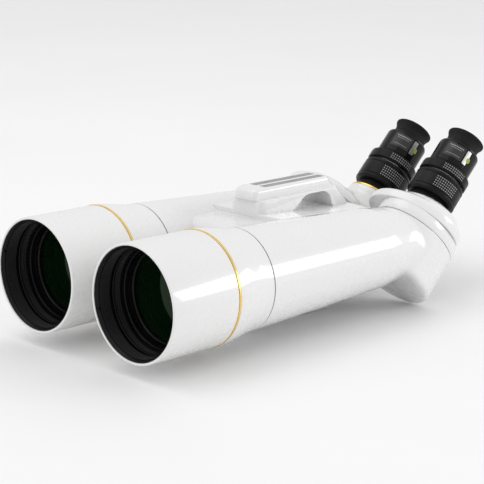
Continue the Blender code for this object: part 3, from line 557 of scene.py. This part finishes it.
# ---- one side --------------------------------------------------------------------------------
def front_end(side, tag):
    """Dew shield, gold band, shoulder, hood liner, lens cell and objective of one side."""
    tube, body = tube_frame(side), "binocular"
    lathe("dew_shield_skin" + tag, [
        (SHIELD_R, SHIELD_END, 0.4), (SHIELD_R, 0.0, 1.0), (SHIELD_BORE, 0.0, 0.5),
        (SHIELD_BORE, SHIELD_END)], tube, "white", body, "white_paint", ("dew_shield" + tag,))
    lathe("gold_band" + tag, [
        (GOLD_R, GOLD_REAR, 0.2), (GOLD_R, GOLD_FRONT, 0.2), (SHIELD_BORE, GOLD_FRONT),
        (SHIELD_BORE, GOLD_REAR)], tube, "gold", body, "gold_trim", ("gold_ring" + tag,))

    flank = []
    for share in np.linspace(0.0, 1.0, 23):
        flank.append((SHIELD_R + (TUBE_FRONT_R - SHIELD_R) * eased(share),
                      SHOULDER_FRONT + (SHOULDER_REAR - 0.1 - SHOULDER_FRONT) * share))
    flank[0] = (*flank[0], 0.3)
    flank[-1] = (*flank[-1], 0.4)
    lathe("shoulder_skin" + tag, flank + [
        (42.7, SHOULDER_REAR - 0.1), (42.7, 100.0), (44.5, 92.0), (48.3, 80.0),
        (48.3, SHOULDER_FRONT)],
        tube, "white", body, "white_paint", ("shoulder" + tag,))
    lathe("shoulder_gasket" + tag, [
        (44.7, SHOULDER_REAR - 0.6), (44.7, TUBE_FRONT + 0.9), (43.2, TUBE_FRONT + 0.9),
        (43.2, SHOULDER_REAR - 0.6)], tube, "black", body, "black_anodised")

    ribs = []
    start, end, pitch = 4.6, 15.4, 0.9
    for i in range(int((end - start) / pitch)):
        ribs += [(46.0, start + i * pitch), (45.5, start + (i + 0.45) * pitch)]
    lathe("hood_liner_ribbed" + tag, [
        (CELL_R, 17.6), (CELL_R, 0.6, 0.3), (47.6, 0.6, 0.3), (45.9, 3.6, 0.3), (45.9, 4.3)]
        + ribs + [(45.9, 15.6, 0.2), (47.2, 15.9), (47.2, 17.6)],
        tube, "black", body, "black_anodised", ("hood_liner" + tag,), angle=SMOOTH)

    grooves = []
    start, end, pitch = 19.6, 27.0, 0.75
    for i in range(int((end - start) / pitch)):
        grooves += [(44.8, start + i * pitch), (45.25, start + (i + 0.5) * pitch)]
    lathe("lens_cell_turned" + tag, [
        (CELL_R, 79.5), (CELL_R, 18.0), (45.4, 18.0, 0.4), (44.8, 18.6, 0.3), (44.8, 19.4)]
        + grooves + [(44.8, 27.2), (44.8, 28.0), (42.5, 28.0, 0.4), (41.7, 28.8, 0.4),
                     (41.7, 33.2, 0.3), (41.4, 33.6), (41.4, 54.4), (38.6, 54.4), (38.6, 79.5)],
        tube, "cell", body, "black_anodised", ("lens_cell" + tag,), angle=SMOOTH)
    lathe("retaining_ring_turned" + tag, [
        (41.1, 38.2), (41.1, 35.5, 0.3), (40.2, 34.9, 0.5), (38.8, 35.9, 0.3), (38.8, 38.2)],
        tube, "cell", body, "black_anodised", ("retaining_ring" + tag,))
    lens("crown_lens_coated" + tag, 41.0, 39.0, -3.4, 46.0, 2.0, tube, "objective", body,
         "crown_glass", ("crown_lens" + tag,))
    # black lining along the tube walls; the disc across the bore at its back is painted shade
    lathe("tube_lining" + tag, [
        (40.2, 107.0), (33.0, 282.0), (0.0, 282.0), (0.0, 283.0), (33.8, 283.0), (40.9, 107.0)],
        tube, "flat", body, "inner_black", segments=SMALL, closed=False)
    for number, angle in enumerate((16.0, 196.0)):
        set_screw("hood_screw%d" % number + tag, side, math.radians(angle))


def set_screw(name, side, angle):
    """Small grub screw through the hood's conical lip."""
    lip_r, depth = 46.3, 2.6
    spot = tube_frame(side) @ Matrix.Translation(
        (side * lip_r * MM * math.cos(angle), -lip_r * MM * math.sin(angle), depth * MM))
    inwards = Matrix.Rotation(-side * angle, 4, "Z") @ Matrix.Rotation(-side * TURN / 4, 4, "Y")
    lathe(name, [
        (0.0, -1.2), (1.2, -1.2), (1.2, 0.7, 0.3), (0.6, 0.7), (0.6, 0.1), (0.0, 0.1)],
        spot @ inwards, "cell", "binocular", "black_anodised", segments=24, closed=False)


def cover(side, tag):
    """Oval plate over the prism, with the dark gaskets under and over it."""
    place = case_frame(side)

    def oval(half_x, half_y, height):
        angles = [TURN * i / FINE for i in range(FINE)]
        return [at(place, half_x * math.cos(turn), half_y * math.sin(turn), height) for turn in angles]

    rings = [oval(CASE_A - inset, CASE_B - inset, height) for height, inset in (
        (COVER_BOTTOM, 4.0), (COVER_BOTTOM, 0.5), (COVER_BOTTOM + 0.15, 0.15),
        (COVER_BOTTOM + 0.5, 0.0), (COVER_TOP - 0.6, 0.0), (COVER_TOP - 0.2, 0.2),
        (COVER_TOP, 0.6), (COVER_TOP, 5.0))]
    finish_mesh("rear_cover_plate" + tag, *rings_mesh(rings), "white", "binocular", "white_paint",
                ("rear_cover" + tag,), True, SMOOTH)
    for name, low, high, half_x, half_y in (
            ("case_gasket", CASE_TOP - 1.0, COVER_BOTTOM + 1.0, CASE_A - 0.3, CASE_B - 0.3),
            ("turret_gasket", COVER_TOP - 1.0, TURRET_BOTTOM + 0.6, CASE_A - 0.4, CASE_A + 0.2)):
        rings = [oval(half_x, half_y, height) for height in (low, high)]
        finish_mesh(name + tag, *rings_mesh(rings), "black", "binocular", "black_anodised")


def knurl(name, place, low, high, body):
    """Grid-knurled patches: rows of small raised squares round a focuser ring."""
    radius, patches, spread = 24.72, (-32.0, 88.0, 208.0), 58.0
    pitch, half, proud = 2.3, 0.6, 0.36
    verts, faces = [], []
    rows = int(round((high - low) / pitch))
    step = pitch / radius
    columns = int(round(math.radians(spread) / step))

    def stud(angle, height):
        base = len(verts)
        for reach, lift in ((half, -0.3), (half, proud * 0.4), (half * 0.7, proud)):
            depth = radius + lift
            for across, up in ((-1, -1), (1, -1), (1, 1), (-1, 1)):
                turn = angle + across * reach / radius
                verts.append(at(place, depth * math.cos(turn), depth * math.sin(turn),
                                height + up * reach))
        for layer in (base, base + 4):
            for i in range(4):
                j = (i + 1) % 4
                faces.append([layer + i, layer + j, layer + 4 + j, layer + 4 + i])
        faces.append([base + 8, base + 9, base + 10, base + 11])
        faces.append([base + 3, base + 2, base + 1, base])

    for patch in patches:
        for row in range(rows):
            for column in range(columns):
                stud(math.radians(patch) + (column - (columns - 1) / 2) * step,
                     low + (row + 0.5) * (high - low) / rows)
    # the studs take the pale knurl finish, a painted highlight on black anodised metal
    finish_mesh(name, verts, faces, "knurl", body, "black_anodised", smooth=False)


def panel_data(place, radius, low, high, centre, spread, corner, proud):
    """A thin panel with rounded corners lying on a cylinder, in strips that follow its curve."""
    half_w, half_h = math.radians(spread) / 2 * radius, (high - low) / 2
    count = max(8, int(spread))
    verts, faces = [], []
    for i in range(count + 1):
        x = -half_w * math.cos(math.pi * i / count)
        over = max(0.0, abs(x) - (half_w - corner))
        edge = half_h - corner + math.sqrt(max(0.0, corner ** 2 - over ** 2))
        turn = math.radians(centre) + x / radius
        for lift, y in ((-0.3, edge), (proud, edge), (proud, -edge), (-0.3, -edge)):
            reach = radius + lift
            verts.append(at(place, reach * math.cos(turn), reach * math.sin(turn), (low + high) / 2 + y))
    for i in range(count):
        near, far = 4 * i, 4 * i + 4
        faces += [[near + k, near + (k + 1) % 4, far + (k + 1) % 4, far + k] for k in range(4)]
    faces += [[0, 1, 2, 3], [4 * count + k for k in range(4)]]
    return verts, faces


def panels(name, place, radius, shapes, proud, mat, body, slot="gloss_black"):
    """Panels on one cylinder as one piece: each has low, high, centre, spread and corner."""
    verts, faces = [], []
    for shape in shapes:
        more_verts, more_faces = panel_data(place, radius, *shape, proud)
        faces += [[v + len(verts) for v in face] for face in more_faces]
        verts += more_verts
    finish_mesh(name, verts, faces, mat, body, slot, angle=CRISP)


def focuser(side, tag, word):
    """Everything on one eyepiece axis, from the collar on the turret up to the eyecup."""
    eye = eye_frame(side)
    turret_body, ring_body = word + "_turret", word + "_focus_ring"
    draw_body, clamp_body, eye_body = word + "_draw_tube", word + "_clamp_ring", word + "_eyepiece"

    lathe("turret_collar" + tag, [
        (20.2, -94.9), (25.2, -94.9, 1.1), (25.2, -101.0, 0.3), (24.0, -101.0), (20.2, -101.0)],
        eye, "white", turret_body, "white_paint", segments=SMALL)
    lathe("turret_ring_gold" + tag, [
        (24.4, -93.0, 0.2), (24.4, -94.6), (20.0, -94.6), (20.0, -93.0)],
        eye, "gold", turret_body, "gold_trim", ("turret_ring" + tag,), SMALL)
    lathe("focuser_base_turned" + tag, [
        (20.0, -63.6, 0.4), (20.0, -85.4, 0.8), (20.9, -88.6, 1.2), (22.0, -91.0, 0.6),
        (22.0, -92.7, 0.3), (19.4, -92.7), (19.4, -105.6), (18.2, -105.6), (18.2, -63.6)],
        eye, "black", turret_body, "black_anodised", ("focuser_base" + tag,), SMALL)

    lathe("focus_ring_turned" + tag, [
        (24.2, -61.5, 0.5), (24.8, -62.8, 0.4), (24.8, -64.6, 0.3), (24.3, -64.9, 0.2),
        (24.3, -65.6, 0.2), (24.75, -65.9, 0.3), (24.75, -78.8, 0.3), (24.2, -79.1, 0.2),
        (24.2, -79.8, 0.2), (25.0, -80.3, 0.5), (25.0, -82.4, 0.8), (23.2, -84.6, 0.6),
        (20.4, -84.6), (20.4, -61.5)], eye, "black", ring_body, "black_anodised",
        ("focus_ring" + tag,), SMALL)
    knurl("focus_ring_knurl" + tag, eye, -78.6, -66.2, ring_body)

    lathe("draw_tube_turned" + tag, [
        (20.2, -51.6, 0.3), (20.2, -61.0, 0.3), (17.9, -61.0), (17.9, -92.6, 0.3), (16.15, -92.6),
        (16.15, -51.6)], eye, "steel", draw_body, "satin_steel", ("draw_tube" + tag,), SMALL)

    lathe("clamp_ring_turned" + tag, [
        (24.0, -49.6, 0.6), (24.8, -50.4, 0.4), (24.8, -58.4, 0.4), (24.2, -59.0, 0.3),
        (20.6, -59.0), (20.6, -51.2), (16.6, -51.2), (16.6, -49.6)],
        eye, "black", clamp_body, "black_anodised", ("clamp_ring" + tag,), SMALL)
    knurl("clamp_ring_knurl" + tag, eye, -57.9, -51.0, clamp_body)

    lathe("eyepiece_body_turned" + tag, [
        (14.6, -16.6, 0.3), (14.6, -22.0), (18.6, -22.0, 0.4), (20.2, -23.0, 0.8),
        (EYE_BODY_R, -24.6, 0.8), (EYE_BODY_R, -47.4, 0.4), (20.6, -47.7, 0.2), (20.6, -48.5, 0.2),
        (20.6, -49.2, 0.4), (16.15, -49.2), (16.15, -44.0), (13.4, -44.0), (13.4, -27.0),
        (10.6, -24.4), (11.9, -24.4), (11.9, -16.6)],
        eye, "gloss", eye_body, "gloss_black", ("eyepiece_body" + tag,), SMALL)
    lathe("eyepiece_barrel_turned" + tag, [
        (15.85, -44.3), (15.85, -56.0, 0.3), (15.2, -56.6, 0.3), (15.2, -62.4, 0.3),
        (15.85, -63.0, 0.3), (15.85, -79.0, 0.6), (14.5, -79.0), (14.5, -44.3)],
        eye, "chrome", eye_body, "chrome", ("eyepiece_barrel" + tag,), SMALL)
    lathe("eyecup_moulded" + tag, [
        (16.9, -21.7, 0.3), (14.9, -21.7), (14.9, -16.3), (12.8, -16.3, 0.3), (12.8, -15.4, 0.6),
        (15.6, -12.4, 3.0), (17.2, -9.2, 1.6), (18.2, -8.5, 0.8), (18.9, -8.9, 0.7),
        (18.9, -9.9, 0.7), (18.2, -11.4, 1.2), (16.9, -14.0, 2.0), (16.5, -17.0, 1.5)],
        eye, "rubber", eye_body, "rubber", ("eyecup" + tag,), SMALL, angle=60.0)
    lens("eye_lens_coated" + tag, 11.6, -24.1, -0.6, -19.6, 1.6, eye, "lens", eye_body,
         "crown_glass", ("eye_lens" + tag,))
    # black lining inside the eyepiece; the disc across its bore is painted shade seen through the eye
    # lens
    lathe("eyepiece_lining_and_shade_disc" + tag, [
        (13.2, -28.0), (13.2, -43.0), (0.0, -43.0), (0.0, -42.4), (12.6, -42.4), (12.6, -28.0)],
        eye, "flat", eye_body, "inner_black", segments=SMALL, closed=False)

    low, high, centre, thickness = -41.5, -26.8, -58.0, 0.04
    panels("label_panel" + tag, eye, EYE_BODY_R, [(low, high, centre, 54.0, 1.0)], thickness,
           "panel", eye_body)
    panels("foil_label" + tag, eye, EYE_BODY_R, [(low, high, -20.0, 13.0, 0.6)], thickness,
           "foil", eye_body, "chrome")
    panels("badge" + tag, eye, EYE_BODY_R, [(-38.2, -32.6, -12.0, 12.0, 2.2)], 0.10,
           "green", eye_body)
    marks = []
    for height, half_height, width, count in ((-29.4, 0.55, 42.0, 9), (-31.6, 0.28, 34.0, 13),
                                              (-38.6, 0.28, 40.0, 15)):
        pitch = width / count
        marks += [(height - half_height, height + half_height, centre + (i - (count - 1) / 2) * pitch,
                   pitch * 0.55, 0.12) for i in range(count)]
    panels("label_marks" + tag, eye, EYE_BODY_R + thickness, marks, 0.03, "mark", eye_body)


# ---- centre ------------------------------------------------------------------------------------
def centred(x, y, z):
    """A point of the centre frame, in millimetres, in the shared frame."""
    return at(Matrix.Translation((0.0, FRONT_Y, AXIS_Z)), x, y, z)


def extruded(outline, low, high, to_point):
    """Vertices and faces of an outline drawn out from low to high."""
    return rings_mesh([[to_point(a, b, depth) for a, b in outline] for depth in (low, high)])


def centre_casting():
    """Cast block between the tubes, with its saddle and the open channel along it."""
    shape = fillet([
        (150.0, -40.0, 6.0), (158.0, -48.0, 6.0), (310.0, -48.0, 12.0), (333.0, -25.0, 8.0),
        (333.0, 10.0, 6.0), (310.0, FRAME_LEVEL, 8.0), (278.0, FRAME_LEVEL), (190.6, 38.4, 1.2),
        (189.8, FRAME_LEVEL, 0.8), (158.0, FRAME_LEVEL, 5.0), (150.0, 25.0, 5.0)], True, 6)
    rings = []
    for side in (-1.0, 1.0):
        ring = []
        for y, z in shape:
            widening = min(1.0, max(0.0, (z - FRAME_UNDER) / -FRAME_UNDER))
            half = FRAME_HALF + 10.0 * widening + 1.4 * max(0.0, z - FRAME_LEVEL)
            ring.append(centred(side * half, y, z))
        rings.append(ring)
    base = temporary("frame_base", *rings_mesh(rings))
    channel = temporary("frame_tunnel", *extruded(
        rounded_box(10.5, 21.0, 6.0), 100.0, 380.0, lambda x, z, y: centred(x, y, z)))
    add_piece("centre_casting", carved(base, [channel], 0.8 * MM), "white", "binocular",
              ("centre_frame",), True, CRISP)


def grip_strip(name, centre):
    """Rubber strip lying in a groove of the handle, with rounded edges."""
    half_x, half_y = GROOVE_HALF
    rings = [[centred(x + centre, y + GROOVE_Y, HANDLE_TOP - depth)
              for x, y in rounded_box(half_x - inset, half_y - inset, 1.5)]
             for depth, inset in ((1.4, 0.15), (0.45, 0.15), (0.3, 0.4), (0.3, 1.0))]
    finish_mesh(name, *rings_mesh(rings), "grip", "binocular", "rubber")


def handle():
    """Carry handle: a foot, a narrower grip with two grooves, a raked rear end and a finger gap."""
    def plan(half_x, front, rear, radius, height):
        return [centred(x, y + (front + rear) / 2, height)
                for x, y in rounded_box(half_x, (rear - front) / 2, radius)]

    front, rear, half = HANDLE_FRONT, HANDLE_REAR, HANDLE_HALF
    foot, under, top = HANDLE_FOOT, HANDLE_UNDER, HANDLE_TOP
    crest = rear - HANDLE_RAKE
    shoulder = rear - HANDLE_RAKE * (under - foot) / (top - foot)
    base = temporary("handle_base", *rings_mesh([
        plan(20.0, front + 3.0, rear, 7.0, foot),
        plan(20.0, front + 3.0, shoulder, 7.0, under - 1.2),
        plan(19.0, front + 3.6, shoulder - 0.8, 6.4, under),
        plan(half, front, shoulder - 1.0, 5.0, under + 0.01),
        plan(half, front, shoulder - 2.6, 5.0, under + 2.5),
        plan(half, front + 0.6, shoulder - 6.0, 5.0, top - 3.6),
        plan(half - 0.4, front + 1.8, shoulder - 7.6, 4.6, top - 1.8),
        plan(half - 1.3, front + 4.0, crest + 0.6, 4.2, top - 0.5),
        plan(half - 2.3, front + 5.6, crest - 0.6, 4.0, top)]))
    gap = fillet([(225.0, foot - 1.0), (284.0, foot - 1.0), (279.0, 44.0, 3.0), (273.0, 49.0, 4.0),
                  (250.0, 49.0, 4.0), (244.0, 47.0, 3.0)], True, 6)
    cutters = [temporary("handle_gap", *extruded(gap, -50.0, 50.0, lambda y, z, x: centred(x, y, z)))]
    for number, centre in enumerate((GROOVE_X, -GROOVE_X)):
        cutters.append(temporary("handle_groove%d" % number, *extruded(
            rounded_box(*GROOVE_HALF, 1.6), top - 1.2, top + 3.0,
            lambda x, y, z, middle=centre: centred(x + middle, y + GROOVE_Y, z))))
        grip_strip("grip_strip%d" % number, centre)
    add_piece("handle_casting", carved(base, cutters, 0.5 * MM), "white", "binocular",
              ("handle",), True, CRISP)


def dress_cad():
    """The CAD pieces that stay get finished materials."""
    inner = {"lens_spacer": "cell", "flint_lens": "prism", "baffle": "flat", "prism_cradle": "black",
             "erecting_prism": "prism", "rhomboid_prism": "prism", "field_lens": "lens"}
    finishes = {"dovetail_bar": "white", "mount_bolt_front": "steel", "mount_bolt_rear": "steel"}
    for tag, _, _ in SIDES:
        finishes.update({name + tag: mat for name, mat in inner.items()})
    for name, mat in finishes.items():
        materials = frame["nodes"][name].data.materials
        materials.clear()
        materials.append(MATS[mat])


# ---- studio --------------------------------------------------------------------------------------
def studio():
    world = bpy.data.worlds.new("studio")
    bpy.context.scene.world = world
    world.use_nodes = True
    background = world.node_tree.nodes["Background"]
    background.inputs["Color"].default_value = (1.0, 1.0, 1.0, 1.0)
    background.inputs["Strength"].default_value = 0.82
    bpy.context.scene.view_settings.view_transform = "Standard"

    mesh = bpy.data.meshes.new("floor")
    half, level = 6.0, -0.0006
    mesh.from_pydata([(-half, -half, level), (half, -half, level), (half, half, level),
                      (-half, half, level)], [], [(0, 1, 2, 3)])
    floor = bpy.data.objects.new("floor", mesh)
    bpy.context.scene.collection.objects.link(floor)
    mesh.materials.append(floor_white())

    def softbox(name, place, aim, width, height, power):
        light = bpy.data.lights.new(name, "AREA")
        light.shape = "RECTANGLE"
        light.size, light.size_y = width, height
        light.energy = power
        lamp = bpy.data.objects.new(name, light)
        bpy.context.scene.collection.objects.link(lamp)
        lamp.location = place
        lamp.rotation_euler = (Vector(aim) - Vector(place)).to_track_quat("-Z", "Y").to_euler()

    softbox("side_box", (1.7, 1.8, 0.62), (0.0, 0.0, 0.10), width=1.5, height=0.75, power=14.0)
    softbox("top_box", (-0.6, -0.5, 2.4), (0.0, 0.05, 0.05), width=2.2, height=1.6, power=13.0)
    softbox("front_box", (-0.5, -2.2, 0.9), (0.0, 0.0, 0.08), width=1.2, height=1.0, power=3.5)


def camera():
    """The photograph's viewpoint: in front, to the right and above, with a slight roll."""
    azimuth, elevation, roll = math.radians(45.2732), math.radians(13.5669), math.radians(0.6928)
    target, distance, focal_length = Vector((-0.01024, 0.0075, 0.06983)), 1.6737, 137.66
    back = Vector((math.sin(azimuth) * math.cos(elevation), -math.cos(azimuth) * math.cos(elevation),
                   math.sin(elevation)))
    flat = Vector((math.cos(azimuth), math.sin(azimuth), 0.0))
    rise = back.cross(flat)
    right = flat * math.cos(roll) + rise * math.sin(roll)
    up = rise * math.cos(roll) - flat * math.sin(roll)
    data = bpy.data.cameras.new("camera")
    data.lens = focal_length
    data.sensor_width = 36.0
    data.clip_end = 30.0
    eye = bpy.data.objects.new("camera", data)
    bpy.context.scene.collection.objects.link(eye)
    basis = Matrix((right, up, back)).transposed().to_4x4()
    eye.matrix_world = Matrix.Translation(target + back * distance) @ basis
    bpy.context.scene.camera = eye


studio()
camera()
for tag, word, side in SIDES:
    front_end(side, tag)
    casting(side, tag)
    cover(side, tag)
    turret(side, tag, word + "_turret")
    focuser(side, tag, word)
centre_casting()
handle()
dress_cad()
